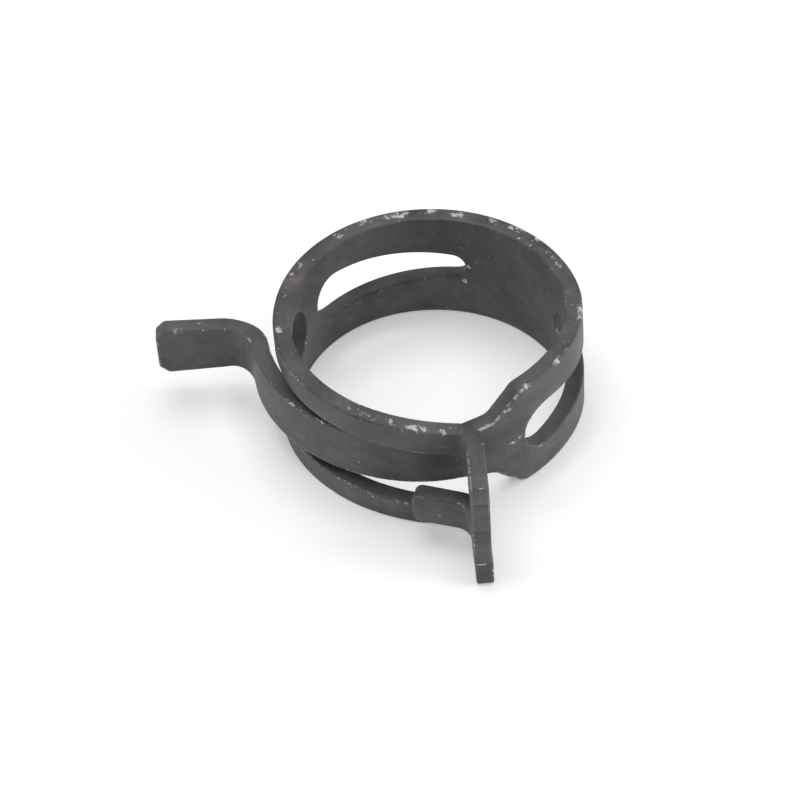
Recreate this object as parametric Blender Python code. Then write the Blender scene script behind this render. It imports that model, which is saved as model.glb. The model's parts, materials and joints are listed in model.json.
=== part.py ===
"""Spring band hose clamp: one stamped steel strip, rolled until its tongue passes through its own fork.

The strip is laid out flat, as its maker stamps it, and then rolled along a centreline of arcs.
In the flat layout x runs along the strip, y is the height above the lower rim, and z is across the
thickness. x = 0 is the middle of the plain back; the tongue lies towards +x and the fork towards -x.
The rolled strip stands on its lower rim, so the ring's axis is +Z.

The real strip bends along its whole length. Here it is cut at six lines into rigid sections, and
each section turns about the upright line in the middle of the cut between it and its neighbour.
"""

import math

import bmesh
import bpy
from mathutils import Vector

MM = 0.001

# Strip
THICKNESS = 1.6 * MM
WIDTH = 12.0 * MM
MID = WIDTH / 2
EDGE_CHAMFER = 0.2 * MM

# Centreline, from the middle of the back outwards: (length, radius) of each arc.
START_RADIUS = 13.42 * MM
START_BEARING = math.radians(46.0)
START_HEADING = math.radians(136.9)
FORK_ARCS = ((13.0, 14.02), (14.0, 12.58), (11.0, 13.33), (8.0, 15.65), (7.7, 19.1))
TONGUE_ARCS = ((7.0, 13.46), (9.0, 10.47), (8.0, 14.83), (6.0, 12.92), (17.0, 15.82), (5.3, 13.48))

# Fork tab: bent outwards at the end of the two rails
FORK_BEND_RADIUS = 1.75 * MM
FORK_BEND = math.radians(82.5)
FORK_TAB_LENGTH = 6.3 * MM
FORK_TAB_SLANT = 0.8 * MM
FORK_TAB_CORNER = 0.5 * MM

# Tongue tab: bent outwards at the end of the tongue
TONGUE_BEND_RADIUS = 3.4 * MM
TONGUE_BEND = math.radians(83.0)
TONGUE_TAB_LENGTH = 6.25 * MM
TONGUE_TAB_CHAMFER = 0.9 * MM

# Tongue and its taper
TONGUE_HEIGHT = 5.4 * MM
TAPER_START = 22.5 * MM
TAPER_END = 25.3 * MM
TAPER_HEIGHT = 6.4 * MM
TAPER_ROUND = 1.0 * MM
NECK_END = 28.2 * MM

# Slots: distance of each end circle from the middle of the back, and its radius
SLOT_NARROW = (7.2 * MM, 1.4 * MM)
FORK_SLOT_WIDE = (19.7 * MM, 2.55 * MM)
TONGUE_SLOT_WIDE = (19.4 * MM, 2.65 * MM)

# Window between the fork's two rails
WINDOW_START = 24.6 * MM
WINDOW_HALF = 3.4 * MM
WINDOW_END = 55.8 * MM
WINDOW_CORNER = 0.8 * MM

# Stop finger: cut free from the fork tab on three sides and bent back along the rails
FINGER_LOW = 2.6 * MM
FINGER_HIGH = 5.7 * MM
FINGER_THICKNESS = 1.58 * MM
FINGER_SHEAR_GAP = 0.2 * MM
FINGER_ROOT = 59.5 * MM
FINGER_PLUG = 0.8 * MM
FINGER_BEND_RADIUS = 2.6 * MM
FINGER_BEND = math.radians(70.0)
FINGER_REACH = 4.2 * MM
FINGER_CORNER = 0.7 * MM

# Sections
CUTS = (13.0 * MM, 27.0 * MM, 40.0 * MM)
CUT_GAP = 0.3 * MM

# Fineness
RING_STEP = math.radians(4.5)
BEND_STEP = math.radians(14.0)
ROUND_STEP = math.radians(18.0)
WELD = 0.00001

STEEL = (0.075, 0.072, 0.076, 1.0)
ROUGHNESS = 0.55
METALLIC = 0.55


# ---------------------------------------------------------------- centreline

def walk(start, heading, pieces):
    """Stations (distance, point, heading) along pieces of (length, turn, largest turn a step)."""
    x, y = start
    distance = 0.0
    stations = [(distance, Vector((x, y)), heading)]
    for length, turn, step in pieces:
        steps = max(1, math.ceil(abs(turn) / step - 1e-6))
        for _ in range(steps):
            angle = turn / steps
            chord = length / steps
            if angle:
                chord *= math.sin(angle / 2) / (angle / 2)
            x += chord * math.cos(heading + angle / 2)
            y += chord * math.sin(heading + angle / 2)
            heading += angle
            distance += length / steps
            stations.append((distance, Vector((x, y)), heading))
    return stations


def ring_pieces(arcs, side):
    """The arcs of one side of the ring; the fork side (-1) turns left and the tongue side right."""
    return [(length * MM, -side * length / radius, RING_STEP) for length, radius in arcs]


def centreline():
    """Stations (x in the flat layout, point, unit vector to the ring's outside), in order of x."""
    start = (START_RADIUS * math.cos(START_BEARING), START_RADIUS * math.sin(START_BEARING))
    fork = ring_pieces(FORK_ARCS, -1)
    fork.append((FORK_BEND_RADIUS * FORK_BEND, -FORK_BEND, BEND_STEP))
    fork.append((FORK_TAB_LENGTH, 0.0, BEND_STEP))
    tongue = ring_pieces(TONGUE_ARCS, 1)
    tongue.append((TONGUE_BEND_RADIUS * TONGUE_BEND, TONGUE_BEND, BEND_STEP))
    tongue.append((TONGUE_TAB_LENGTH, 0.0, BEND_STEP))
    stations = []
    for distance, point, heading in reversed(walk(start, START_HEADING, fork)[1:]):
        stations.append((-distance, point, Vector((math.sin(heading), -math.cos(heading)))))
    for distance, point, heading in walk(start, START_HEADING + math.pi, tongue):
        stations.append((distance, point, Vector((-math.sin(heading), math.cos(heading)))))
    return stations


def finger_line(strip):
    """Stations of the finger's own centreline, from its root in the tab to its free end."""
    root, outward = place(strip, -FINGER_ROOT, 0.0)
    along = math.atan2(-outward.x, outward.y)
    start = root - Vector((math.cos(along), math.sin(along))) * FINGER_PLUG
    pieces = [
        (FINGER_PLUG, 0.0, BEND_STEP),
        (FINGER_BEND_RADIUS * FINGER_BEND, FINGER_BEND, BEND_STEP),
        (FINGER_REACH, 0.0, BEND_STEP),
    ]
    stations = []
    for distance, point, heading in walk(start, along, pieces):
        stations.append((distance, point, Vector((math.sin(heading), -math.cos(heading)))))
    return stations


def place(stations, x, across):
    """The rolled position of the flat point (x, across), and the outward vector there."""
    last = len(stations) - 2
    index = 0
    while index < last and stations[index + 1][0] < x:
        index += 1
    x0, point0, out0 = stations[index]
    x1, point1, out1 = stations[index + 1]
    part = (x - x0) / (x1 - x0)
    point = (point0 + out0 * across).lerp(point1 + out1 * across, part)
    return point, out0.lerp(out1, part)


# ---------------------------------------------------------------- flat layout

def arc(centre, radius, first, last):
    """Points of an arc from one angle to another, both in radians."""
    steps = max(2, math.ceil(abs(last - first) / ROUND_STEP))
    angles = [first + (last - first) * k / steps for k in range(steps + 1)]
    return [(centre[0] + radius * math.cos(a), centre[1] + radius * math.sin(a)) for a in angles]


def rounded(corners):
    """An outline from (x, y, radius) corners, in order; a radius of 0 keeps the corner sharp."""
    points = []
    for index, (x, y, radius) in enumerate(corners):
        here = Vector((x, y))
        if radius == 0:
            points.append((x, y))
            continue
        before = (Vector(corners[index - 1][:2]) - here).normalized()
        after = (Vector(corners[(index + 1) % len(corners)][:2]) - here).normalized()
        half = before.angle(after) / 2
        centre = here + (before + after).normalized() * (radius / math.sin(half))
        first = here + before * (radius / math.tan(half)) - centre
        last = here + after * (radius / math.tan(half)) - centre
        first_angle = math.atan2(first.y, first.x)
        turn = math.remainder(math.atan2(last.y, last.x) - first_angle, 2 * math.pi)
        points += arc(centre, radius, first_angle, first_angle + turn)
    return points


def mirrored(corners):
    """Corners listed along the upper edge, followed by the same along the lower edge."""
    return corners + [(x, WIDTH - y, radius) for x, y, radius in reversed(corners)]


def strip_outline(fork_end, tongue_end):
    """The stamped outline: full height up to the taper, and the tongue beyond it.

    The fork's end is sheared at a slant, so that its lower corner reaches further out.
    """
    tongue_top = MID + TONGUE_HEIGHT / 2
    upper = [
        (TAPER_START, WIDTH, TAPER_ROUND),
        (TAPER_END, MID + TAPER_HEIGHT / 2, TAPER_ROUND),
        (NECK_END, tongue_top, TAPER_ROUND),
        (tongue_end - TONGUE_TAB_CHAMFER, tongue_top, 0),
        (tongue_end, tongue_top - TONGUE_TAB_CHAMFER, 0),
    ]
    fork = [(fork_end, 0.0, FORK_TAB_CORNER), (fork_end + FORK_TAB_SLANT, WIDTH, FORK_TAB_CORNER)]
    return rounded(fork + mirrored(upper))


def tapered_slot(narrow, wide, side):
    """A slot with round ends that widens away from the back; side is -1 for the fork's."""
    length = wide[0] - narrow[0]
    lean = math.asin((wide[1] - narrow[1]) / length)
    quarter = math.pi / 2
    near = arc((narrow[0], MID), narrow[1], quarter + lean, 3 * quarter - lean)
    far = arc((wide[0], MID), wide[1], -quarter - lean, quarter + lean)
    return [(side * x, y) for x, y in near + far]


def window_outline():
    """The fork's window, with the slit that the finger leaves in the tab."""
    top = MID + WINDOW_HALF
    slit_low = FINGER_LOW - FINGER_SHEAR_GAP
    slit_high = FINGER_HIGH + FINGER_SHEAR_GAP
    centre = (-WINDOW_START - WINDOW_HALF, MID)
    corners = [
        (-WINDOW_END, top, WINDOW_CORNER),
        (-WINDOW_END, slit_high, 0),
        (-FINGER_ROOT, slit_high, 0),
        (-FINGER_ROOT, slit_low, 0),
        (centre[0], slit_low, 0),
    ]
    return arc(centre, WINDOW_HALF, -math.pi / 2, math.pi / 2) + rounded(corners)[:-1]


def flat_plate(name, outlines, thickness):
    """A plate of the given thickness from a filled 2D curve, with its edges chamfered."""
    curve = bpy.data.curves.new(name, "CURVE")
    curve.dimensions = "2D"
    curve.fill_mode = "BOTH"
    curve.extrude = thickness / 2
    for outline in outlines:
        spline = curve.splines.new("POLY")
        spline.points.add(len(outline) - 1)
        spline.use_cyclic_u = True
        for point, (x, y) in zip(spline.points, outline):
            point.co = (x, y, 0.0, 1.0)
    flat = bpy.data.objects.new(name, curve)
    bpy.context.scene.collection.objects.link(flat)
    evaluated = flat.evaluated_get(bpy.context.evaluated_depsgraph_get())
    mesh = bpy.data.meshes.new_from_object(evaluated)
    bpy.data.objects.remove(flat)
    plate = bmesh.new()
    plate.from_mesh(mesh)
    bpy.data.meshes.remove(mesh)
    bmesh.ops.remove_doubles(plate, verts=plate.verts, dist=WELD)
    bmesh.ops.dissolve_limit(plate, angle_limit=0.001, verts=plate.verts, edges=plate.edges)
    rims = [edge for edge in plate.edges if edge.calc_face_angle(0.0) > math.radians(60)
            and abs(edge.verts[0].co.z - edge.verts[1].co.z) < WELD]
    bmesh.ops.bevel(plate, geom=rims, offset=EDGE_CHAMFER, segments=1, affect="EDGES", profile=0.5)
    return plate


# ---------------------------------------------------------------- rolling

def cut_away(plate, x, side):
    """Cuts the plate at x, removes what lies on that side of it, and closes the cut."""
    everything = list(plate.verts) + list(plate.edges) + list(plate.faces)
    bmesh.ops.bisect_plane(plate, geom=everything, plane_co=(x, 0, 0), plane_no=(side, 0, 0),
                           dist=WELD / 100, clear_outer=True)
    open_edges = [edge for edge in plate.edges if edge.is_boundary]
    bmesh.ops.holes_fill(plate, edges=open_edges, sides=0)


def roll(plate, stations):
    """Scores the plate at every station, then moves its points onto the rolled strip."""
    for x, _, _ in stations:
        everything = list(plate.verts) + list(plate.edges) + list(plate.faces)
        bmesh.ops.bisect_plane(plate, geom=everything, plane_co=(x, 0, 0), plane_no=(1, 0, 0),
                               dist=WELD)
    for vertex in plate.verts:
        flat = vertex.co.copy()
        point, _ = place(stations, flat.x, flat.z)
        vertex.co = (point.x, point.y, flat.y)
    bmesh.ops.remove_doubles(plate, verts=plate.verts, dist=WELD)
    bmesh.ops.recalc_face_normals(plate, faces=plate.faces)


def keep_height(plate, low, high):
    """Keeps only the loose pieces that lie between two heights."""
    outside = [v for v in plate.verts if not low < v.co.z < high]
    bmesh.ops.delete(plate, geom=outside, context="VERTS")


# ---------------------------------------------------------------- objects

def coated_steel(name):
    """The dark phosphate coating of one section."""
    material = bpy.data.materials.new(name + "_steel")
    material.use_nodes = True
    shader = material.node_tree.nodes["Principled BSDF"]
    shader.inputs["Base Color"].default_value = STEEL
    shader.inputs["Roughness"].default_value = ROUGHNESS
    shader.inputs["Metallic"].default_value = METALLIC
    return material


def add_object(name, plate, origin, collection):
    """An object of the rolled plate whose origin is the given point."""
    bmesh.ops.translate(plate, verts=plate.verts, vec=-origin)
    mesh = bpy.data.meshes.new(name)
    plate.to_mesh(mesh)
    plate.free()
    mesh.materials.append(coated_steel(name))
    thing = bpy.data.objects.new(name, mesh)
    thing.location = origin
    collection.objects.link(thing)
    return thing


def add_section(name, blank, strip, x_low, x_high, pivot, collection, heights=None):
    """One rigid section of the strip between two places of the flat layout."""
    plate = blank.copy()
    if x_low is not None:
        cut_away(plate, x_low, -1)
    if x_high is not None:
        cut_away(plate, x_high, 1)
    roll(plate, strip)
    if heights:
        keep_height(plate, *heights)
    return add_object(name, plate, pivot, collection)


def add_finger(strip, collection):
    """The stop finger, which the fork tab takes in by a Boolean union."""
    stations = finger_line(strip)
    tip = stations[-1][0]
    corners = [
        (0.0, FINGER_HIGH, 0),
        (tip, FINGER_HIGH, FINGER_CORNER),
        (tip, FINGER_LOW, FINGER_CORNER),
        (0.0, FINGER_LOW, 0),
    ]
    plate = flat_plate("finger", [rounded(corners)], FINGER_THICKNESS)
    roll(plate, stations)
    helper = add_object("finger_helper", plate, Vector((0, 0, 0)), collection)
    helper.hide_render = True
    helper.display_type = "WIRE"
    return helper


def stand_on_origin(things):
    """Moves everything so that the middle of the clamp's footprint is the origin."""
    bpy.context.view_layer.update()
    corners = [thing.matrix_world @ Vector(corner) for thing in things for corner in thing.bound_box]
    middle_x = (min(c.x for c in corners) + max(c.x for c in corners)) / 2
    middle_y = (min(c.y for c in corners) + max(c.y for c in corners)) / 2
    lowest = min(c.z for c in corners)
    for thing in things:
        thing.location -= Vector((middle_x, middle_y, lowest))


def main():
    for thing in list(bpy.data.objects):
        bpy.data.objects.remove(thing)
    parts = bpy.data.collections.new("hose_clamp")
    helpers = bpy.data.collections.new("helpers")
    for collection in (parts, helpers):
        bpy.context.scene.collection.children.link(collection)

    strip = centreline()
    outlines = [
        strip_outline(strip[0][0], strip[-1][0]),
        tapered_slot(SLOT_NARROW, FORK_SLOT_WIDE, -1),
        tapered_slot(SLOT_NARROW, TONGUE_SLOT_WIDE, 1),
        window_outline(),
    ]
    blank = flat_plate("blank", outlines, THICKNESS)

    pivots = {}
    for side in (-1, 1):
        for cut in CUTS:
            point, _ = place(strip, side * cut, 0.0)
            pivots[side * cut] = Vector((point.x, point.y, MID))
    first, second, third = CUTS
    half_gap = CUT_GAP / 2
    rails = ("upper_rail", (MID, WIDTH * 2)), ("lower_rail", (-WIDTH, MID))

    middle, _ = place(strip, 0.0, 0.0)
    back_origin = Vector((middle.x, middle.y, MID))
    things = [
        add_section("back_band", blank, strip, half_gap - first, first - half_gap, back_origin, parts),
        add_section("left_band", blank, strip, half_gap - second, -first - half_gap,
                    pivots[-first], parts),
    ]
    for name, heights in rails:
        things.append(add_section(name, blank, strip, half_gap - third, -second - half_gap,
                                  pivots[-second], parts, heights))
    fork_tab = add_section("fork_tab", blank, strip, None, -third - half_gap, pivots[-third], parts)
    union = fork_tab.modifiers.new("finger", "BOOLEAN")
    union.operation = "UNION"
    union.solver = "EXACT"
    finger = add_finger(strip, helpers)
    union.object = finger
    things += [
        fork_tab,
        add_section("right_band", blank, strip, first + half_gap, second - half_gap,
                    pivots[first], parts),
        add_section("tongue", blank, strip, second + half_gap, third - half_gap,
                    pivots[second], parts),
        add_section("tongue_tab", blank, strip, third + half_gap, None, pivots[third], parts),
    ]
    blank.free()
    stand_on_origin(things + [finger])


main()
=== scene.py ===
"""Looks of the spring band hose clamp: the rolled strip, its rounded stamped edges and its worn coating.

Each piece is stamped flat, rounded along its edges, cut to length and rolled onto the centreline that
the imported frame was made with. In the flat layout x runs along the strip, y is the height above the
lower rim and z is across the thickness. x = 0 is the middle of the plain back, the tongue lies towards
+x and the fork towards -x.
"""

import json
import math

import bmesh
import bpy
from bpy.props import FloatProperty, FloatVectorProperty, IntProperty, PointerProperty
from mathutils import Matrix, Vector


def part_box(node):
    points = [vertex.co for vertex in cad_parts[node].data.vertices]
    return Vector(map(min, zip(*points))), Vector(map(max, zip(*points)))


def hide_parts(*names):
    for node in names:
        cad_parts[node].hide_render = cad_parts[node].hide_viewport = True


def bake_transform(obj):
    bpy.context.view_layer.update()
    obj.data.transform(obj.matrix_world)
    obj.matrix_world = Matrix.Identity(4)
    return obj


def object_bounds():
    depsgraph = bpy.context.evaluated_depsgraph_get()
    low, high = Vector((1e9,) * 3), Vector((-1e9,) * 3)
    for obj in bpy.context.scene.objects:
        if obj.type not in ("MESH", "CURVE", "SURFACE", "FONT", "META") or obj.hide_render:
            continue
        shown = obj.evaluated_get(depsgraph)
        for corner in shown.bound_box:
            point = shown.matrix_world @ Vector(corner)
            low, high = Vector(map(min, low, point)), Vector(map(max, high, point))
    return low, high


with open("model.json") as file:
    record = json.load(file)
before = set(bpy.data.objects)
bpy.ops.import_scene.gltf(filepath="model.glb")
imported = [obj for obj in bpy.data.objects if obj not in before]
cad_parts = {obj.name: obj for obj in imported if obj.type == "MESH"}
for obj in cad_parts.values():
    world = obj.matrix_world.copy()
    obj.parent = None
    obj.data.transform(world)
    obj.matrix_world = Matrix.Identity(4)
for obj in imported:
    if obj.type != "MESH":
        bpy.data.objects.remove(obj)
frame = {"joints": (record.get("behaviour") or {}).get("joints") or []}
CAD_LOW, CAD_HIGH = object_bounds()

bl_info = {
    "name": "Spring band hose clamp",
    "version": (1, 0, 0),
    "blender": (4, 5, 0),
    "location": "3D View > Sidebar > Clamp",
    "description": "Builds a spring band hose clamp with a worn dark coating, and its stage",
    "category": "Object",
}

MM = 0.001

# Centreline in millimetres: (length, radius) of each arc, from the middle of the back outwards.
START_RADIUS = 13.42
START_BEARING = math.radians(46.0)
START_HEADING = math.radians(136.9)
FORK_ARCS = ((13.0, 14.02), (14.0, 12.58), (11.0, 13.33), (8.0, 15.65), (7.7, 19.1))
TONGUE_ARCS = ((7.0, 13.46), (9.0, 10.47), (8.0, 14.83), (6.0, 12.92), (17.0, 15.82), (5.3, 13.48))
FORK_BEND_RADIUS = 1.75
FORK_BEND = math.radians(82.5)
FORK_TAB_LENGTH = 6.3
TONGUE_BEND_RADIUS = 3.4
TONGUE_BEND = math.radians(83.0)
TONGUE_TAB_LENGTH = 6.25

# Flat outline, in millimetres, and the largest turn between two points of a rounded corner
ARC_STEP = math.radians(10.0)
FORK_TAB_SLANT = 0.8
FORK_TAB_CORNER = 0.45
TONGUE_TAB_CHAMFER = 0.85
TONGUE_TAB_ROUND = 0.5
TAPER_START = 22.5
TAPER_END = 25.3
TAPER_HEIGHT = 6.4
TAPER_ROUND = 1.4
NECK_END = 28.2
SLOT_NARROW = (7.2, 1.4)
FORK_SLOT_WIDE = (19.7, 2.55)
TONGUE_SLOT_WIDE = (19.4, 2.65)
TONGUE_SLOT_DROP = 0.22
WINDOW_START = 24.6
WINDOW_HALF = 3.4
WINDOW_END = 55.8
WINDOW_CORNER = 0.6
SLIT_MOUTH_ROUND = 0.35
SLIT_RAMP = 2.0

# Where the strip is narrower, higher or tucked in: (middle, half length, amount), the first two along the
# strip in millimetres. The waist's amount is a share of the height, and the others are millimetres.
WAIST = (55.6, 3.6, 0.12)
NECK_LIFT = (26.5, 6.0, 0.28)
BAND_TUCK = (15.0, 9.0, 0.16)
FORK_TUCK = (-48.0, 13.0, 0.12)
RAIL_RISE = (-54.2, 4.2, 0.6)

# The neck's lift: how far below the upper rim it starts to die out, in millimetres, its share at the lower
# rim, and how much that share grows over the height
NECK_LIFT_FADE = 1.5
NECK_LIFT_LOW = 0.35
NECK_LIFT_GAIN = 0.85

# Stop finger, in millimetres
FINGER_LOW = 2.6
FINGER_HIGH = 5.95
FINGER_GAP = 0.2
FINGER_ROOT = 59.5
FINGER_BEND_RADIUS = 2.6
FINGER_BEND = math.radians(70.0)
FINGER_REACH = 4.2
FINGER_CORNER = 0.85

# The flat faces start this many edge radii in from the stamped outline.
SHOULDER = 1.2

# Edges that turn more sharply than this are rounded.
RIM_ANGLE = math.radians(60.0)

# A face is one of the strip's two flat faces if its normal points across the strip by at least this share.
FLAT_FACE = 0.99

# Marks that the shear left across the end of the fork tab: their heights, their depth, half their height,
# and how far past the tab's slant a point still counts as its end, in millimetres
SHEAR_MARKS = (2.65, 6.6, 9.9)
SHEAR_MARK_DEPTH = 0.10
SHEAR_MARK_HALF = 0.09
SHEAR_MARK_REACH = 0.1

# The tab leans towards its outer face by up to TAB_LEAN from the highest mark down to the lowest, and the
# leg below them is set back by LEG_SHIFT. Both come in over LEAN_FADE, from LEAN_START past the window's
# end. All in millimetres
TAB_LEAN = 0.10
LEG_SHIFT = 0.10
LEAN_START = 1.0
LEAN_FADE = 2.0

# Joints of the frame, by their distance along the strip in millimetres
JOINTS = {
    "left_bend": -13.0,
    "rail_bend": -27.0,
    "fork_bend": -40.0,
    "right_bend": 13.0,
    "neck_bend": 27.0,
    "tongue_bend": 40.0,
}

# The joint that the centreline is moved onto, and the most it may miss any joint by, in millimetres
ANCHOR_JOINT = "fork_bend"
JOINT_MISS = 0.05

# Pieces meet at the middle of the back, and this far from it on both sides, in millimetres: the bands with
# the rails and the neck, and those with the fork's end and the tongue
BAND_CUT = 20.0
END_CUT = 33.5

# Vertex attributes: the place in the flat layout, and 1 on the rounded edges and the rims
PLACE = "strip_place"
NEAR_EDGE = "edge_near"

# Chipped patches, and on the fork tab's end three pale patches that paint highlights, in millimetres in the
# flat layout: (along, up, across, reach along, density from 0 to 1), and last the reach up where it isn't
# CHIP_SPREAD. The outer face is at 0.8 across, the inner one at -0.8.
CHIP_SPREAD = 1.1
BACK_LEFT_CHIPS = (
    (-11.0, 12, 0.3, 17.0, 0.36), (-12.0, 12, 0.2, 3.4, 0.60), (-14.9, 12, 0.4, 2.2, 0.52),
    (-9.2, 12, 0.3, 1.4, 0.46), (-17.6, 12, -0.1, 2.0, 0.50), (-6.6, 12, 0.2, 2.0, 0.52),
    (-3.2, 12, 0.3, 1.9, 0.50), (-0.9, 12, 0.4, 2.4, 0.48), (-6.0, 4.2, -0.8, 1.1, 0.5),
    (-5.5, 6.3, -0.8, 0.9, 0.50, 0.5),
)
BACK_RIGHT_CHIPS = (
    (3.0, 12, 0.2, 6.0, 0.34), (1.6, 12, 0.4, 1.8, 0.46), (5.2, 12, 0.1, 1.8, 0.42),
    (11.8, 12, 0.6, 3.0, 0.37), (17.5, 12, 0.7, 3.0, 0.39), (14.0, 6.0, 0.8, 7.0, 0.34),
)
RAIL_CHIPS = (
    (-23.4, 12, 0.3, 2.0, 0.54), (-24.9, 12, 0.4, 1.6, 0.50), (-28.0, 12, 0.2, 9.0, 0.34),
    (-32.0, 12, 0.4, 2.0, 0.40),
)
FORK_CHIPS_AND_END_HIGHLIGHTS = (
    (-47.4, 12, 0.0, 3.2, 0.52), (-50.4, 12, 0.1, 3.0, 0.50), (-53.0, 12, 0.4, 1.8, 0.36),
    # The patches at -61.8 and -62.3 along, on the tab's end at its top edge and at the shear marks 9.9 and
    # 2.65 up, are painted highlights where those edges catch the light.
    (-45.0, 12, 0.2, 10.0, 0.38), (-61.8, 11.9, 0, 0.6, 0.66, 0.24), (-62.3, 9.9, 0.0, 0.5, 0.48, 0.2),
    (-62.3, 2.65, 0.2, 0.6, 0.60, 0.18), (-46.0, 2.2, 0.6, 9.0, 0.34),
)
NECK_CHIPS = (
    (22.0, 11.9, 0.7, 1.8, 0.44, 0.7), (24.2, 10.4, 0.8, 2.2, 0.42), (26.0, 9.3, 0.8, 2.0, 0.42),
    (28.6, 8.8, 0.8, 2.4, 0.43, 0.6), (23.0, 6.0, 0.8, 5.0, 0.34),
)
TONGUE_CHIPS = (
    (61.6, 8.6, 0.5, 1.8, 0.38), (60.0, 8.7, 0.0, 3.0, 0.35), (47.0, 8.5, 0.7, 4.0, 0.36),
    (50.5, 6.0, 0.8, 3.0, 0.36),
)

# How strongly wear, with the pale marks that paint light on the top face and the fork tab's end, shows in
# the colour, the metal and the depth; then the grain's bump and the gloss
WEAR_COLOUR = 0.9
WEAR_METAL = 0.35
WEAR_DEPTH = 0.9
GRAIN_STRENGTH = 0.8
SPECULAR = 0.45

# Soft lights: where each stands from the middle of the ring, and the side of its square, in metres
TOP_LIGHT = ((-0.05, 0.12, 0.6), 0.5)
LEFT_LIGHT = ((-0.5, -0.04, 0.14), 0.26)
RIGHT_LIGHT = ((0.5, -0.10, 0.14), 0.3)

# The floor: half its side in metres, and how far below the clamp it lies in millimetres
FLOOR_HALF = 3.0
FLOOR_DROP = 0.02

# What the camera looks at, from the middle of the ring, in millimetres
AIM = (-2.93, -4.4, 0.0)


# ---------------------------------------------------------------- settings

class ClampStrip(bpy.types.PropertyGroup):
    """Sizes of the strip that a user would change."""

    thickness: FloatProperty(
        name="Thickness", description="Thickness of the steel strip",
        default=1.6 * MM, min=0.5 * MM, max=3 * MM, unit="LENGTH")
    width: FloatProperty(
        name="Width", description="Height of the band from rim to rim",
        default=round(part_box("back_band")[1].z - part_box("back_band")[0].z, 5), unit="LENGTH")
    tongue_height: FloatProperty(
        name="Tongue height", description="Height of the tongue between its two edges",
        default=round(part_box("tongue_tab")[1].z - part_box("tongue_tab")[0].z, 5), unit="LENGTH")
    edge_radius: FloatProperty(
        name="Edge radius", description="Rounding of every stamped edge",
        default=0.22 * MM, min=0.05 * MM, max=0.5 * MM, unit="LENGTH")
    edge_segments: IntProperty(
        name="Edge segments", description="Facets across a rounded edge", default=3, min=1, max=6)
    ring_step: FloatProperty(
        name="Ring step", description="Largest turn between two score lines of the ring",
        default=math.radians(2.0), unit="ROTATION")
    bend_step: FloatProperty(
        name="Bend step", description="Largest turn between two score lines of a tight bend",
        default=math.radians(5.0), unit="ROTATION")


class ClampFinish(bpy.types.PropertyGroup):
    """Colours and wear of the phosphate coating."""

    coating: FloatVectorProperty(
        name="Coating", description="Darker colour of the coating", subtype="COLOR",
        default=(0.045, 0.042, 0.045), min=0, max=1)
    coating_light: FloatVectorProperty(
        name="Rubbed coating", description="Lighter colour that the coating has where it is rubbed",
        subtype="COLOR", default=(0.140, 0.125, 0.142), min=0, max=1)
    bare: FloatVectorProperty(
        name="Bare steel", description="Colour of the steel where the coating is chipped off",
        subtype="COLOR", default=(0.58, 0.56, 0.60), min=0, max=1)
    speck_amount: FloatProperty(
        name="Specks", description="Share of the surface's cells that hold a pale speck",
        default=0.16, min=0, max=1, subtype="FACTOR")
    grain_depth: FloatProperty(
        name="Grain depth", description="Depth of the coating's grain",
        default=0.03 * MM, min=0, max=0.2 * MM, unit="LENGTH")


class ClampStage(bpy.types.PropertyGroup):
    """Floor, light and camera."""

    floor: FloatVectorProperty(
        name="Floor", description="Colour of the floor", subtype="COLOR",
        default=(0.80, 0.80, 0.80), min=0, max=1)
    sky: FloatProperty(
        name="Sky", description="Strength of the even light from all round", default=0.30, min=0)
    glow: FloatProperty(
        name="Glow", description="Light that the floor sends back by itself, as a lit table does",
        default=0.30, min=0)
    top: FloatProperty(
        name="Top light", description="Power of the soft light overhead", default=2.4,
        min=0, unit="POWER")
    left: FloatProperty(
        name="Left light", description="Power of the soft light at the left", default=0.58,
        min=0, unit="POWER")
    right: FloatProperty(
        name="Right light", description="Power of the soft light at the right", default=1.8,
        min=0, unit="POWER")
    elevation: FloatProperty(
        name="Elevation", description="Height of the camera above the horizon",
        default=math.radians(46.52), unit="ROTATION")
    roll: FloatProperty(
        name="Roll", description="Tilt of the camera about its line of sight",
        default=math.radians(-4.49), unit="ROTATION")
    distance: FloatProperty(
        name="Distance", description="Distance from the camera to the point it looks at",
        default=350.5 * MM, unit="LENGTH")
    lens: FloatProperty(
        name="Lens", description="Focal length in millimetres", default=173.7, min=10)


# ---------------------------------------------------------------- centreline

def walk(start, heading, pieces):
    """Stations (distance, point, heading) along pieces of (length, turn, largest turn a step)."""
    x, y = start
    distance = 0.0
    stations = [(distance, Vector((x, y)), heading)]
    for length, turn, step in pieces:
        steps = max(1, math.ceil(abs(turn) / step - 1e-6))
        for _ in range(steps):
            angle = turn / steps
            chord = length / steps
            if angle:
                chord *= math.sin(angle / 2) / (angle / 2)
            x += chord * math.cos(heading + angle / 2)
            y += chord * math.sin(heading + angle / 2)
            heading += angle
            distance += length / steps
            stations.append((distance, Vector((x, y)), heading))
    return stations


def ring_pieces(arcs, side, step):
    """The arcs of one side of the ring; the fork side (-1) turns left and the tongue side right."""
    return [(length * MM, -side * length / radius, step) for length, radius in arcs]


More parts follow.
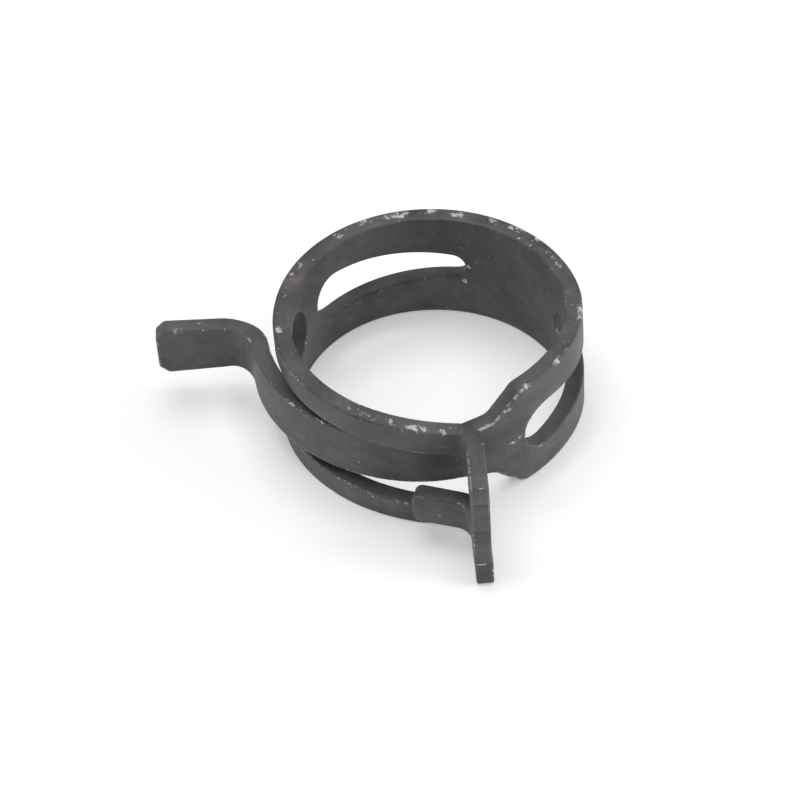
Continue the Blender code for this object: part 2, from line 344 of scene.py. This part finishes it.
def centreline(strip):
    """Stations (x in the flat layout, point, unit vector to the ring's outside), in order of x."""
    start = Vector((math.cos(START_BEARING), math.sin(START_BEARING))) * START_RADIUS * MM
    fork = ring_pieces(FORK_ARCS, -1, strip.ring_step)
    fork.append((FORK_BEND_RADIUS * FORK_BEND * MM, -FORK_BEND, strip.bend_step))
    fork.append((FORK_TAB_LENGTH * MM, 0.0, strip.bend_step))
    tongue = ring_pieces(TONGUE_ARCS, 1, strip.ring_step)
    tongue.append((TONGUE_BEND_RADIUS * TONGUE_BEND * MM, TONGUE_BEND, strip.bend_step))
    tongue.append((TONGUE_TAB_LENGTH * MM, 0.0, strip.bend_step))
    line = []
    for distance, point, heading in reversed(walk(start, START_HEADING, fork)[1:]):
        line.append((-distance, point, Vector((math.sin(heading), -math.cos(heading)))))
    for distance, point, heading in walk(start, START_HEADING + math.pi, tongue):
        line.append((distance, point, Vector((-math.sin(heading), math.cos(heading)))))
    return moved_to_frame(line)


def moved_to_frame(line):
    """The centreline moved so that it runs through the frame's joints."""
    joints = {joint["name"]: Vector(joint["pos_m"][:2]) for joint in frame["joints"]}
    shift = joints[ANCHOR_JOINT] - place(line, JOINTS[ANCHOR_JOINT] * MM, 0.0)[0]
    line = [(x, point + shift, out) for x, point, out in line]
    for name, distance in JOINTS.items():
        miss = (place(line, distance * MM, 0.0)[0] - joints[name]).length
        if miss > JOINT_MISS * MM:
            raise RuntimeError(f"the strip misses the joint {name} by {miss / MM:.2f} mm")
    return line


def finger_line(line, strip):
    """Stations of the finger's own centreline, from its root in the tab to its free end."""
    root, outward = place(line, -FINGER_ROOT * MM, 0.0)
    along = math.atan2(-outward.x, outward.y)
    pieces = [
        (FINGER_BEND_RADIUS * FINGER_BEND * MM, FINGER_BEND, strip.bend_step),
        (FINGER_REACH * MM, 0.0, strip.bend_step),
    ]
    stations = []
    for distance, point, heading in walk(root, along, pieces):
        out = Vector((-math.sin(heading), math.cos(heading)))
        stations.append((distance - FINGER_ROOT * MM, point, out))
    return stations


def place(line, x, across):
    """The rolled position of the flat point (x, across), and the outward vector there."""
    last = len(line) - 2
    index = 0
    while index < last and line[index + 1][0] < x:
        index += 1
    x0, point0, out0 = line[index]
    x1, point1, out1 = line[index + 1]
    part = (x - x0) / (x1 - x0)
    return (point0 + out0 * across).lerp(point1 + out1 * across, part), out0.lerp(out1, part)


def between_scores(line, x):
    """The middle of the facet that holds x, where two pieces meet without a crease."""
    index = max(i for i, station in enumerate(line[:-1]) if station[0] <= x)
    return (line[index][0] + line[index + 1][0]) / 2


# ---------------------------------------------------------------- flat outline, in millimetres

def arc(centre, radius, first, last):
    """Points of an arc from one angle to another."""
    steps = max(2, math.ceil(abs(last - first) / ARC_STEP))
    angles = [first + (last - first) * k / steps for k in range(steps + 1)]
    return [(centre[0] + radius * math.cos(a), centre[1] + radius * math.sin(a)) for a in angles]


def rounded(corners):
    """An outline from (x, y, radius) corners, in order; a radius of 0 keeps the corner sharp."""
    points = []
    for index, (x, y, radius) in enumerate(corners):
        here = Vector((x, y))
        if radius == 0:
            points.append((x, y))
            continue
        before = (Vector(corners[index - 1][:2]) - here).normalized()
        after = (Vector(corners[(index + 1) % len(corners)][:2]) - here).normalized()
        half = before.angle(after) / 2
        centre = here + (before + after).normalized() * (radius / math.sin(half))
        first = here + before * (radius / math.tan(half)) - centre
        last = here + after * (radius / math.tan(half)) - centre
        first_angle = math.atan2(first.y, first.x)
        turn = math.remainder(math.atan2(last.y, last.x) - first_angle, 2 * math.pi)
        points += arc(centre, radius, first_angle, first_angle + turn)
    return points


def strip_outline(fork_end, tongue_end, width, tongue_height):
    """The stamped outline: full height up to the taper, and the tongue beyond it."""
    middle = width / 2
    tongue_top = middle + tongue_height / 2
    upper = [
        (TAPER_START, width, TAPER_ROUND),
        (TAPER_END, middle + TAPER_HEIGHT / 2, TAPER_ROUND),
        (NECK_END, tongue_top, TAPER_ROUND),
        (tongue_end - TONGUE_TAB_CHAMFER, tongue_top, TONGUE_TAB_ROUND),
        (tongue_end, tongue_top - TONGUE_TAB_CHAMFER, TONGUE_TAB_ROUND),
    ]
    lower = [(x, width - y, radius) for x, y, radius in reversed(upper)]
    fork = [(fork_end, 0.0, FORK_TAB_CORNER), (fork_end + FORK_TAB_SLANT, width, FORK_TAB_CORNER)]
    return rounded(fork + upper + lower)


def tapered_slot(narrow, wide, side, middle):
    """A slot with round ends that widens away from the back; side is -1 for the fork's."""
    lean = math.asin((wide[1] - narrow[1]) / (wide[0] - narrow[0]))
    quarter = math.pi / 2
    near = arc((narrow[0], middle), narrow[1], quarter + lean, 3 * quarter - lean)
    far = arc((wide[0], middle), wide[1], -quarter - lean, quarter + lean)
    return [(side * x, y) for x, y in near + far]


def window_outline(finger_tip, middle):
    """The fork's window, and round the finger that lies in it before it is bent."""
    top = middle + WINDOW_HALF
    slit_low = FINGER_LOW - FINGER_GAP
    slit_high = FINGER_HIGH + FINGER_GAP
    centre = (-WINDOW_START - WINDOW_HALF, middle)
    corners = [
        (-WINDOW_END, top, WINDOW_CORNER),
        (-WINDOW_END, slit_high, SLIT_MOUTH_ROUND),
        (-FINGER_ROOT, slit_high, 0),
        (-FINGER_ROOT, FINGER_HIGH, 0),
        (finger_tip, FINGER_HIGH, FINGER_CORNER),
        (finger_tip, FINGER_LOW, FINGER_CORNER),
        (-FINGER_ROOT, FINGER_LOW, 0),
        (-FINGER_ROOT, slit_low, 0),
        (centre[0] - SLIT_RAMP, slit_low, 0),
    ]
    return arc(centre, WINDOW_HALF, -math.pi / 2, math.pi / 2) + rounded(corners)[:-1]


# ---------------------------------------------------------------- stamping

def stamped_plate(strip, line, finger):
    """The flat strip, filled from its outlines, given its thickness and rounded along its edges."""
    width = strip.width / MM
    outlines = [
        strip_outline(line[0][0] / MM, line[-1][0] / MM, width, strip.tongue_height / MM),
        tapered_slot(SLOT_NARROW, FORK_SLOT_WIDE, -1, width / 2),
        tapered_slot(SLOT_NARROW, TONGUE_SLOT_WIDE, 1, width / 2 - TONGUE_SLOT_DROP),
        window_outline(finger[-1][0] / MM, width / 2),
    ]
    plate = bmesh.new()
    for outline in outlines:
        ring = [plate.verts.new((x * MM, y * MM, 0.0)) for x, y in outline]
        for index, vertex in enumerate(ring):
            plate.edges.new((ring[index - 1], vertex))
    bmesh.ops.triangle_fill(plate, use_beauty=True, use_dissolve=False, edges=plate.edges[:])
    bmesh.ops.inset_region(plate, faces=plate.faces[:], use_boundary=True, use_even_offset=True,
                           thickness=strip.edge_radius * SHOULDER)
    bmesh.ops.solidify(plate, geom=plate.faces[:], thickness=strip.thickness)
    middle = sum(vertex.co.z for vertex in plate.verts) / len(plate.verts)
    bmesh.ops.translate(plate, verts=plate.verts, vec=(0, 0, -middle))
    bmesh.ops.recalc_face_normals(plate, faces=plate.faces)
    rims = [edge for edge in plate.edges if edge.calc_face_angle(0.0) > RIM_ANGLE
            and abs(edge.verts[0].co.z - edge.verts[1].co.z) < strip.thickness / 10]
    bmesh.ops.bevel(plate, geom=rims, offset=strip.edge_radius, segments=strip.edge_segments,
                    affect="EDGES", profile=0.5, material=-1)
    near = plate.verts.layers.float.new(NEAR_EDGE)
    for vertex in plate.verts:
        vertex[near] = float(any(abs(face.normal.z) < FLAT_FACE for face in vertex.link_faces))
    return plate


def cut_away(plate, x, side):
    """Removes what lies on one side of x, and closes the cut with a sharp cap."""
    everything = plate.verts[:] + plate.edges[:] + plate.faces[:]
    bmesh.ops.bisect_plane(plate, geom=everything, plane_co=(x, 0, 0), plane_no=(side, 0, 0),
                           dist=1e-8, clear_outer=True)
    open_edges = [edge for edge in plate.edges if edge.is_boundary]
    caps = bmesh.ops.holes_fill(plate, edges=open_edges, sides=0)["faces"]
    for cap in caps:
        for edge in cap.edges:
            edge.smooth = False


def score(plate, places, direction):
    """Cuts score lines across the plate at each of the places along a direction."""
    for distance in places:
        everything = plate.verts[:] + plate.edges[:] + plate.faces[:]
        bmesh.ops.bisect_plane(plate, geom=everything, plane_co=direction * distance,
                               plane_no=direction, dist=1e-6)


def press_shear_marks(plate, fork_end):
    """Presses shallow marks across the fork tab's end, leans the tab and sets its lowest leg back."""
    tops = [mark * MM for mark in SHEAR_MARKS]
    half = SHEAR_MARK_HALF * MM
    lines = [top + offset for top in tops for offset in (-half, 0, half)]
    score(plate, lines, Vector((0, 1, 0)))
    end = fork_end + (FORK_TAB_SLANT + SHEAR_MARK_REACH) * MM
    for vertex in plate.verts:
        x, y, _ = vertex.co
        if x < end and any(abs(y - top) < half / 2 for top in tops):
            vertex.co.x += SHEAR_MARK_DEPTH * MM
        bent = min(1.0, max(0.0, (-x / MM - WINDOW_END - LEAN_START) / LEAN_FADE))
        lean = TAB_LEAN * min(1.0, max(0.0, (tops[2] - y) / (tops[2] - tops[0])))
        if y < tops[0] - half / 2:
            lean -= LEG_SHIFT
        vertex.co.z += lean * MM * bent


def bump(x, shape):
    """1 at the middle of a shape (middle, half length, amount) in millimetres, and 0 past its ends."""
    share = min(1.0, abs(x / MM - shape[0]) / shape[1])
    return 1 - share * share * (3 - 2 * share)


def ease_outline(plate, width):
    """Narrows, lifts and tucks in the strip at set places along its length."""
    middle = width / 2
    for vertex in plate.verts:
        x, y, _ = vertex.co
        vertex.co.y += (middle - y) * WAIST[2] * bump(x, WAIST)
        room = min(1.0, (width - y) / (NECK_LIFT_FADE * MM))
        room *= NECK_LIFT_LOW + NECK_LIFT_GAIN * y / width
        vertex.co.y += NECK_LIFT[2] * MM * room * bump(x, NECK_LIFT)
        if y < FINGER_LOW * MM - FINGER_GAP * MM / 2:
            share = 1 - y / (FINGER_LOW * MM)
            vertex.co.y += RAIL_RISE[2] * MM * share * bump(x, RAIL_RISE)
        vertex.co.z -= BAND_TUCK[2] * MM * (1 - y / width) ** 2 * bump(x, BAND_TUCK)
        vertex.co.z -= FORK_TUCK[2] * MM * (y / width) * bump(x, FORK_TUCK)


def roll(plate, line, finger):
    """Scores the plate and rolls it onto the strip's line, and the finger onto its own bend."""
    low = min(vertex.co.x for vertex in plate.verts)
    high = max(vertex.co.x for vertex in plate.verts)
    stations = [x for x, _, _ in line + finger if low < x < high]
    score(plate, stations, Vector((1, 0, 0)))
    ease_outline(plate, bpy.context.scene.clamp_strip.width)
    flat = plate.verts.layers.float_vector.new(PLACE)
    for vertex in plate.verts:
        x, y, across = vertex.co
        vertex[flat] = vertex.co
        slack = FINGER_GAP / 2
        in_finger = x > -FINGER_ROOT * MM and x < finger[-1][0] + slack * MM
        in_finger = in_finger and FINGER_LOW - slack < y / MM < FINGER_HIGH + slack
        point, _ = place(finger if in_finger else line, x, across)
        vertex.co = (point.x, point.y, y)
    bmesh.ops.recalc_face_normals(plate, faces=plate.faces)
    if plate.calc_volume(signed=True) < 0:
        bmesh.ops.reverse_faces(plate, faces=plate.faces)


def strip_piece(name, plate, material):
    """A shown object of the rolled plate, smooth but for its caps."""
    for face in plate.faces:
        face.smooth = True
    mesh = bpy.data.meshes.new(name)
    plate.to_mesh(mesh)
    plate.free()
    mesh.materials.append(material)
    piece = bpy.data.objects.new(name, mesh)
    bpy.context.scene.collection.objects.link(piece)
    return piece


def build_piece(name, first, last, nodes, patches, rubbed):
    """One stretch of the strip, from first to last in millimetres, that spans a joint of two bodies.

    None stands for the strip's own end. rubbed is how far the coating is worn off the edges, from 0 to 1.
    """
    scene = bpy.context.scene
    strip = scene.clamp_strip
    line = centreline(strip)
    finger = finger_line(line, strip)
    plate = stamped_plate(strip, line, finger)
    if first is not None:
        cut_away(plate, between_scores(line, first * MM), -1)
    if last is not None:
        cut_away(plate, between_scores(line, last * MM), 1)
    if first is None:
        press_shear_marks(plate, line[0][0])
    roll(plate, line, finger)
    material = coated_steel(name + "_coating", scene.clamp_finish, patches, rubbed)
    piece = strip_piece(name, plate, material)
    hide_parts(*nodes)
    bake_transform(piece)


# ---------------------------------------------------------------- shader groups
# Noise scales are counts per metre of the flat strip, so 1000 makes lumps about a millimetre long.

def node(tree, kind, inputs=(), **settings):
    """Adds a node with its properties; its inputs are given in order or as (key, value)."""
    made = tree.nodes.new(kind)
    for key, value in settings.items():
        setattr(made, key, value)
    for index, value in enumerate(inputs):
        key = index
        if isinstance(value, tuple) and len(value) == 2 and isinstance(value[0], str):
            key, value = value
        feed(tree, made.inputs[key], value)
    return made


def feed(tree, socket, value):
    """Joins an input to another node's output, or sets its plain value."""
    if isinstance(value, bpy.types.NodeSocket):
        tree.links.new(value, socket)
    else:
        socket.default_value = value


def maths(tree, operation, *values):
    """The output of a Math node."""
    return node(tree, "ShaderNodeMath", values, operation=operation).outputs[0]


def times(tree, first, second):
    """The product of two values."""
    return maths(tree, "MULTIPLY", first, second)


def plus(tree, first, second):
    """The sum of two values."""
    return maths(tree, "ADD", first, second)


def minus(tree, first, second):
    """The difference of two values."""
    return maths(tree, "SUBTRACT", first, second)


def ramp(tree, value, low, high):
    """A smooth step of value from 0 at low to 1 at high."""
    made = node(tree, "ShaderNodeMapRange", (value, low, high), interpolation_type="SMOOTHSTEP")
    return made.outputs[0]


def noise(tree, place_socket, scale, detail=3.0, roughness=0.55):
    """The value of a noise texture."""
    settings = [("Vector", place_socket), ("Scale", scale), ("Detail", detail), ("Roughness", roughness)]
    return node(tree, "ShaderNodeTexNoise", settings).outputs["Fac"]


def stretched(tree, place_socket, scale):
    """The place scaled by a vector."""
    made = node(tree, "ShaderNodeVectorMath", (place_socket, scale), operation="MULTIPLY")
    return made.outputs["Vector"]


def mixed(tree, factor, first, second):
    """Two colours mixed."""
    made = node(tree, "ShaderNodeMix", (("Factor", factor),), data_type="RGBA")
    inputs = {socket.identifier: socket for socket in made.inputs}
    feed(tree, inputs["A_Color"], first)
    feed(tree, inputs["B_Color"], second)
    return next(socket for socket in made.outputs if socket.identifier == "Result_Color")


def new_group(name, inputs, outputs):
    """An empty shader group with its sockets: (tree, the group's inputs, its output node)."""
    tree = bpy.data.node_groups.new(name, "ShaderNodeTree")
    for socket, kind, default in inputs:
        made = tree.interface.new_socket(socket, in_out="INPUT", socket_type="NodeSocket" + kind)
        made.default_value = default
    for socket, kind in outputs:
        tree.interface.new_socket(socket, in_out="OUTPUT", socket_type="NodeSocket" + kind)
    source = tree.nodes.new("NodeGroupInput").outputs
    return tree, source, tree.nodes.new("NodeGroupOutput")


def coating_group():
    """Phosphate coating: mottled colour, uneven gloss and a fine grain drawn out along the strip."""
    inputs = (("Place", "Vector", (0, 0, 0)), ("Dark", "Color", (0, 0, 0, 1)),
              ("Light", "Color", (1, 1, 1, 1)), ("Mottle", "Float", 0.62))
    outputs = (("Colour", "Color"), ("Roughness", "Float"), ("Height", "Float"))
    tree, source, out = new_group("Phosphate coating", inputs, outputs)
    spot = source["Place"]
    fine = noise(tree, spot, 5200, 3, 0.7)
    drawn = noise(tree, stretched(tree, spot, (0.12, 1, 1)), 2600, 3, 0.6)
    cloud = ramp(tree, noise(tree, spot, 170, 5, 0.62), 0.34, 0.68)
    bloom = ramp(tree, noise(tree, spot, 700, 5, 0.7), 0.46, 0.72)
    frost = ramp(tree, noise(tree, spot, 2100, 4, 0.75), 0.52, 0.74)
    tone = times(tree, cloud, source["Mottle"])
    for value, share in ((fine, 0.20), (drawn, 0.12), (bloom, 0.22), (frost, 0.30)):
        tone = plus(tree, tone, times(tree, value, share))
    tone = minus(tree, tone, 0.16)
    colour = mixed(tree, tone, source["Dark"], source["Light"])
    tree.links.new(colour, out.inputs["Colour"])
    gloss = plus(tree, times(tree, cloud, 0.16), 0.40)
    gloss = plus(tree, gloss, times(tree, fine, 0.18))
    tree.links.new(gloss, out.inputs["Roughness"])
    height = plus(tree, times(tree, fine, 0.7), times(tree, drawn, 0.5))
    height = plus(tree, height, times(tree, bloom, 0.4))
    tree.links.new(height, out.inputs["Height"])
    return tree


def rubbed_edge_group():
    """Bare metal along the edges, broken up by noise. Near is 1 on the rounded edges and the rims."""
    inputs = (("Place", "Vector", (0, 0, 0)), ("Near", "Float", 0.0), ("Amount", "Float", 0.3),
              ("Half thickness", "Float", 0.8 * MM))
    tree, source, out = new_group("Rubbed edge", inputs, (("Mask", "Float"),))
    across = node(tree, "ShaderNodeSeparateXYZ", (source["Place"],)).outputs["Z"]
    depth = maths(tree, "DIVIDE", maths(tree, "ABSOLUTE", across), source["Half thickness"])
    corner = times(tree, ramp(tree, depth, 0.74, 0.90), ramp(tree, source["Near"], 0.30, 0.95))
    stretch = noise(tree, source["Place"], 330, 4, 0.7)
    crumbs = noise(tree, source["Place"], 3600, 4, 0.7)
    broken = plus(tree, times(tree, stretch, 0.5), times(tree, crumbs, 0.5))
    level = minus(tree, 0.80, times(tree, source["Amount"], 0.5))
    over = minus(tree, broken, level)
    mask = times(tree, ramp(tree, over, 0.0, 0.07), corner)
    tree.links.new(mask, out.inputs["Mask"])
    return tree


def chip_and_highlight_patch_group():
    """A cluster of small pale flecks about a place on the strip, reaching a given distance each way: chips,
    and on the fork tab's end painted highlights.
    """
    inputs = (("Place", "Vector", (0, 0, 0)), ("Centre", "Vector", (0, 0, 0)),
              ("Reach", "Vector", (1, 1, 1)), ("Density", "Float", 0.5))
    tree, source, out = new_group("Chip and highlight patch", inputs, (("Mask", "Float"),))
    away = node(tree, "ShaderNodeVectorMath", (source["Place"], source["Centre"]), operation="SUBTRACT")
    share = node(tree, "ShaderNodeVectorMath", (away.outputs[0], source["Reach"]), operation="DIVIDE")
    length = node(tree, "ShaderNodeVectorMath", (share.outputs[0],), operation="LENGTH").outputs["Value"]
    inside = minus(tree, 1.0, ramp(tree, length, 0.1, 1.0))
    flakes = noise(tree, source["Place"], 2300, 6, 0.74)
    lumps = noise(tree, source["Place"], 900, 2, 0.5)
    flakes = plus(tree, times(tree, flakes, 0.62), times(tree, lumps, 0.38))
    level = times(tree, inside, source["Density"])
    level = minus(tree, 0.74, times(tree, level, 0.5))
    mask = ramp(tree, minus(tree, flakes, level), -0.02, 0.06)
    tree.links.new(times(tree, mask, ramp(tree, inside, 0.0, 0.1)), out.inputs["Mask"])
    return tree


def speck_and_top_light_group():
    """Pale dots strewn over the coating, many more of them on the upper rim, and a few fine scratches. The
    extra dots on the upper rim are partly wear and partly painted light that lightens the top face.
    """
    inputs = (("Place", "Vector", (0, 0, 0)), ("Amount", "Float", 0.1), ("Rim", "Float", 12 * MM))
    tree, source, out = new_group("Specks, scratches and painted top light", inputs, (("Mask", "Float"),))
    up = node(tree, "ShaderNodeSeparateXYZ", (source["Place"],)).outputs["Y"]
    # The upper rim gets a larger share of pale dots: partly wear, partly painted light from above that
    # lightens the top face.
    rim = ramp(tree, minus(tree, up, source["Rim"]), -0.3 * MM, -0.1 * MM)
    amount = plus(tree, source["Amount"], times(tree, rim, 0.34))
    mask = None
    for scale, bright in ((620.0, 0.85), (1500.0, 0.75)):
        cells = node(tree, "ShaderNodeTexVoronoi", (("Vector", source["Place"]), ("Scale", scale)))
        chance = node(tree, "ShaderNodeSeparateXYZ", (cells.outputs["Color"],)).outputs
        chosen = maths(tree, "LESS_THAN", chance["X"], amount)
        size = plus(tree, times(tree, chance["Y"], 0.11), 0.05)
        ragged = times(tree, noise(tree, source["Place"], scale * 6, 2, 0.6), 0.16)
        reach = plus(tree, cells.outputs["Distance"], minus(tree, ragged, 0.08))
        dots = minus(tree, 1.0, ramp(tree, maths(tree, "DIVIDE", reach, size), 0.5, 1.1))
        dots = times(tree, times(tree, dots, chosen), chance["Z"])
        dots = times(tree, dots, bright)
        mask = dots if mask is None else maths(tree, "MAXIMUM", mask, dots)
    line = noise(tree, stretched(tree, source["Place"], (0.10, 1.0, 1.0)), 520, 2, 0.5)
    hair = maths(tree, "ABSOLUTE", minus(tree, line, 0.5))
    hair = minus(tree, 1.0, ramp(tree, hair, 0.0, 0.006))
    where = ramp(tree, noise(tree, source["Place"], 240, 2, 0.5), 0.56, 0.68)
    hair = times(tree, times(tree, hair, where), 0.22)
    tree.links.new(maths(tree, "MAXIMUM", mask, hair), out.inputs["Mask"])
    return tree


def shared_group(name, make):
    """The named group, made the first time it is asked for."""
    return bpy.data.node_groups.get(name) or make()


def coated_steel(name, finish, patches, rubbed):
    """The coating of one piece, with its chipped patches and how far its edges are rubbed."""
    material = bpy.data.materials.new(name)
    material.use_nodes = True
    tree = material.node_tree
    shader = tree.nodes["Principled BSDF"]
    spot = node(tree, "ShaderNodeAttribute", attribute_name=PLACE).outputs["Vector"]
    near = node(tree, "ShaderNodeAttribute", attribute_name=NEAR_EDGE).outputs["Fac"]

    def group(title, make, **inputs):
        made = node(tree, "ShaderNodeGroup", node_tree=shared_group(title, make))
        for key, value in inputs.items():
            feed(tree, made.inputs[key], value)
        return made

    coat = group("Phosphate coating", coating_group, Place=spot, Dark=(*finish.coating, 1),
                 Light=(*finish.coating_light, 1))
    wear = group("Rubbed edge", rubbed_edge_group, Place=spot, Near=near, Amount=rubbed).outputs["Mask"]
    # Pale dots and scratches, with more dots on the upper rim as painted light on the top face.
    specks_and_top_light = group("Specks, scratches and painted top light", speck_and_top_light_group, Place=spot, Amount=finish.speck_amount)
    wear = maths(tree, "MAXIMUM", wear, specks_and_top_light.outputs["Mask"])
    # Chipped patches; on the fork tab's end some of them are painted highlights.
    for along, up, across, reach, density, *tall in patches:
        reach_up = tall[0] if tall else CHIP_SPREAD
        patch = group("Chip and highlight patch", chip_and_highlight_patch_group, Place=spot, Density=density,
                      Centre=(along * MM, up * MM, across * MM),
                      Reach=(reach * MM, reach_up * MM, CHIP_SPREAD * MM))
        wear = maths(tree, "MAXIMUM", wear, patch.outputs["Mask"])

    colour = mixed(tree, times(tree, wear, WEAR_COLOUR), coat.outputs["Colour"], (*finish.bare, 1))
    tree.links.new(colour, shader.inputs["Base Color"])
    tree.links.new(coat.outputs["Roughness"], shader.inputs["Roughness"])
    tree.links.new(times(tree, wear, WEAR_METAL), shader.inputs["Metallic"])
    height = minus(tree, coat.outputs["Height"], times(tree, wear, WEAR_DEPTH))
    relief = node(tree, "ShaderNodeBump",
                  (("Strength", GRAIN_STRENGTH), ("Distance", finish.grain_depth), ("Height", height)))
    tree.links.new(relief.outputs["Normal"], shader.inputs["Normal"])
    shader.inputs["Specular IOR Level"].default_value = SPECULAR
    return material


# ---------------------------------------------------------------- pieces

class CLAMP_OT_back(bpy.types.Operator):
    """Builds the plain back of the ring and the slotted bands on both sides of it"""

    bl_idname = "clamp.back"
    bl_label = "Back and slotted bands"

    def execute(self, context):
        build_piece("back_left_band", -BAND_CUT, 0,
                    ("back_band", "left_band"), BACK_LEFT_CHIPS, 0.44)
        build_piece("back_right_band", 0, BAND_CUT,
                    ("back_band", "right_band"), BACK_RIGHT_CHIPS, 0.46)
        return {"FINISHED"}


class CLAMP_OT_fork(bpy.types.Operator):
    """Builds the two rails round the window, and the fork tab with its stop finger"""

    bl_idname = "clamp.fork"
    bl_label = "Fork and stop finger"

    def execute(self, context):
        build_piece("left_rails", -END_CUT, -BAND_CUT,
                    ("left_band", "upper_rail", "lower_rail"), RAIL_CHIPS, 0.42)
        build_piece("fork_with_finger", None, -END_CUT,
                    ("upper_rail", "lower_rail", "fork_tab"), FORK_CHIPS_AND_END_HIGHLIGHTS, 0.52)
        return {"FINISHED"}


class CLAMP_OT_tongue(bpy.types.Operator):
    """Builds the tapered neck, and the tongue with its tab"""

    bl_idname = "clamp.tongue"
    bl_label = "Neck and tongue"

    def execute(self, context):
        build_piece("neck", BAND_CUT, END_CUT,
                    ("right_band", "tongue"), NECK_CHIPS, 0.60)
        build_piece("tongue_with_tab", END_CUT, None,
                    ("tongue", "tongue_tab"), TONGUE_CHIPS, 0.54)
        return {"FINISHED"}


# ---------------------------------------------------------------- stage

def ring_centre():
    """The middle of the ring, at half its height."""
    line = centreline(bpy.context.scene.clamp_strip)
    back = place(line, 0.0, 0.0)[0]
    bearing = Vector((math.cos(START_BEARING), math.sin(START_BEARING)))
    middle = back - bearing * START_RADIUS * MM
    return Vector((middle.x, middle.y, bpy.context.scene.clamp_strip.width / 2))


def pale_floor(colour, glow):
    """A floor that reaches past everything that the camera sees."""
    sheet = bmesh.new()
    bmesh.ops.create_grid(sheet, x_segments=8, y_segments=8, size=FLOOR_HALF)
    bmesh.ops.translate(sheet, verts=sheet.verts, vec=(0, 0, CAD_LOW.z - FLOOR_DROP * MM))
    mesh = bpy.data.meshes.new("floor")
    sheet.to_mesh(mesh)
    sheet.free()
    material = bpy.data.materials.new("pale_floor")
    material.use_nodes = True
    shader = material.node_tree.nodes["Principled BSDF"]
    shader.inputs["Base Color"].default_value = (*colour, 1)
    shader.inputs["Roughness"].default_value = 0.9
    shader.inputs["Emission Color"].default_value = (1, 1, 1, 1)
    shader.inputs["Emission Strength"].default_value = glow
    mesh.materials.append(material)
    floor = bpy.data.objects.new("floor", mesh)
    bpy.context.scene.collection.objects.link(floor)


def soft_light(name, target, offset, size, power):
    """A square area light at an offset from the point it faces."""
    data = bpy.data.lights.new(name, "AREA")
    data.size = size
    data.energy = power
    light = bpy.data.objects.new(name, data)
    light.location = target + Vector(offset)
    light.rotation_euler = (-Vector(offset)).to_track_quat("-Z", "Y").to_euler()
    bpy.context.scene.collection.objects.link(light)


def aim_camera(stage, target):
    """The camera at the given elevation and roll, looking straight towards +Y from the front."""
    data = bpy.data.cameras.new("camera")
    data.lens = stage.lens
    data.clip_start = 0.01
    camera = bpy.data.objects.new("camera", data)
    tilt = Matrix.Rotation(math.pi / 2 - stage.elevation, 4, "X")
    turn = Matrix.Rotation(stage.roll, 4, "Z")
    back = Vector((0, -math.cos(stage.elevation), math.sin(stage.elevation)))
    camera.matrix_world = Matrix.Translation(target + back * stage.distance) @ tilt @ turn
    bpy.context.scene.collection.objects.link(camera)
    bpy.context.scene.camera = camera


class CLAMP_OT_stage(bpy.types.Operator):
    """Makes the pale floor, the soft light and the camera"""

    bl_idname = "clamp.stage"
    bl_label = "Stage"

    def execute(self, context):
        scene = context.scene
        stage = scene.clamp_stage
        middle = ring_centre()
        pale_floor(stage.floor, stage.glow)
        soft_light("top_light", middle, *TOP_LIGHT, stage.top)
        soft_light("left_light", middle, *LEFT_LIGHT, stage.left)
        soft_light("right_light", middle, *RIGHT_LIGHT, stage.right)
        world = bpy.data.worlds.new("studio")
        world.use_nodes = True
        background = world.node_tree.nodes["Background"]
        background.inputs["Color"].default_value = (1, 1, 1, 1)
        background.inputs["Strength"].default_value = stage.sky
        scene.world = world
        scene.view_settings.view_transform = "Standard"
        aim_camera(stage, middle + Vector(AIM) * MM)
        return {"FINISHED"}


class CLAMP_PT_sidebar(bpy.types.Panel):
    """Lists the pieces that can be built, and their sizes"""

    bl_idname = "CLAMP_PT_sidebar"
    bl_label = "Spring band clamp"
    bl_space_type = "VIEW_3D"
    bl_region_type = "UI"
    bl_category = "Clamp"

    def draw(self, context):
        layout = self.layout
        for operator in OPERATORS:
            layout.operator(operator.bl_idname)
        for settings in (context.scene.clamp_strip, context.scene.clamp_finish, context.scene.clamp_stage):
            box = layout.box()
            for name in settings.__annotations__:
                box.prop(settings, name)


OPERATORS = (CLAMP_OT_back, CLAMP_OT_fork, CLAMP_OT_tongue, CLAMP_OT_stage)
CLASSES = (ClampStrip, ClampFinish, ClampStage, *OPERATORS, CLAMP_PT_sidebar)


def register():
    for cls in CLASSES:
        bpy.utils.register_class(cls)
    bpy.types.Scene.clamp_strip = PointerProperty(type=ClampStrip)
    bpy.types.Scene.clamp_finish = PointerProperty(type=ClampFinish)
    bpy.types.Scene.clamp_stage = PointerProperty(type=ClampStage)


def unregister():
    del bpy.types.Scene.clamp_stage
    del bpy.types.Scene.clamp_finish
    del bpy.types.Scene.clamp_strip
    for cls in reversed(CLASSES):
        bpy.utils.unregister_class(cls)


def main():
    register()
    bpy.ops.clamp.back()
    bpy.ops.clamp.fork()
    bpy.ops.clamp.tongue()
    bpy.ops.clamp.stage()


if __name__ == "__main__":
    main()
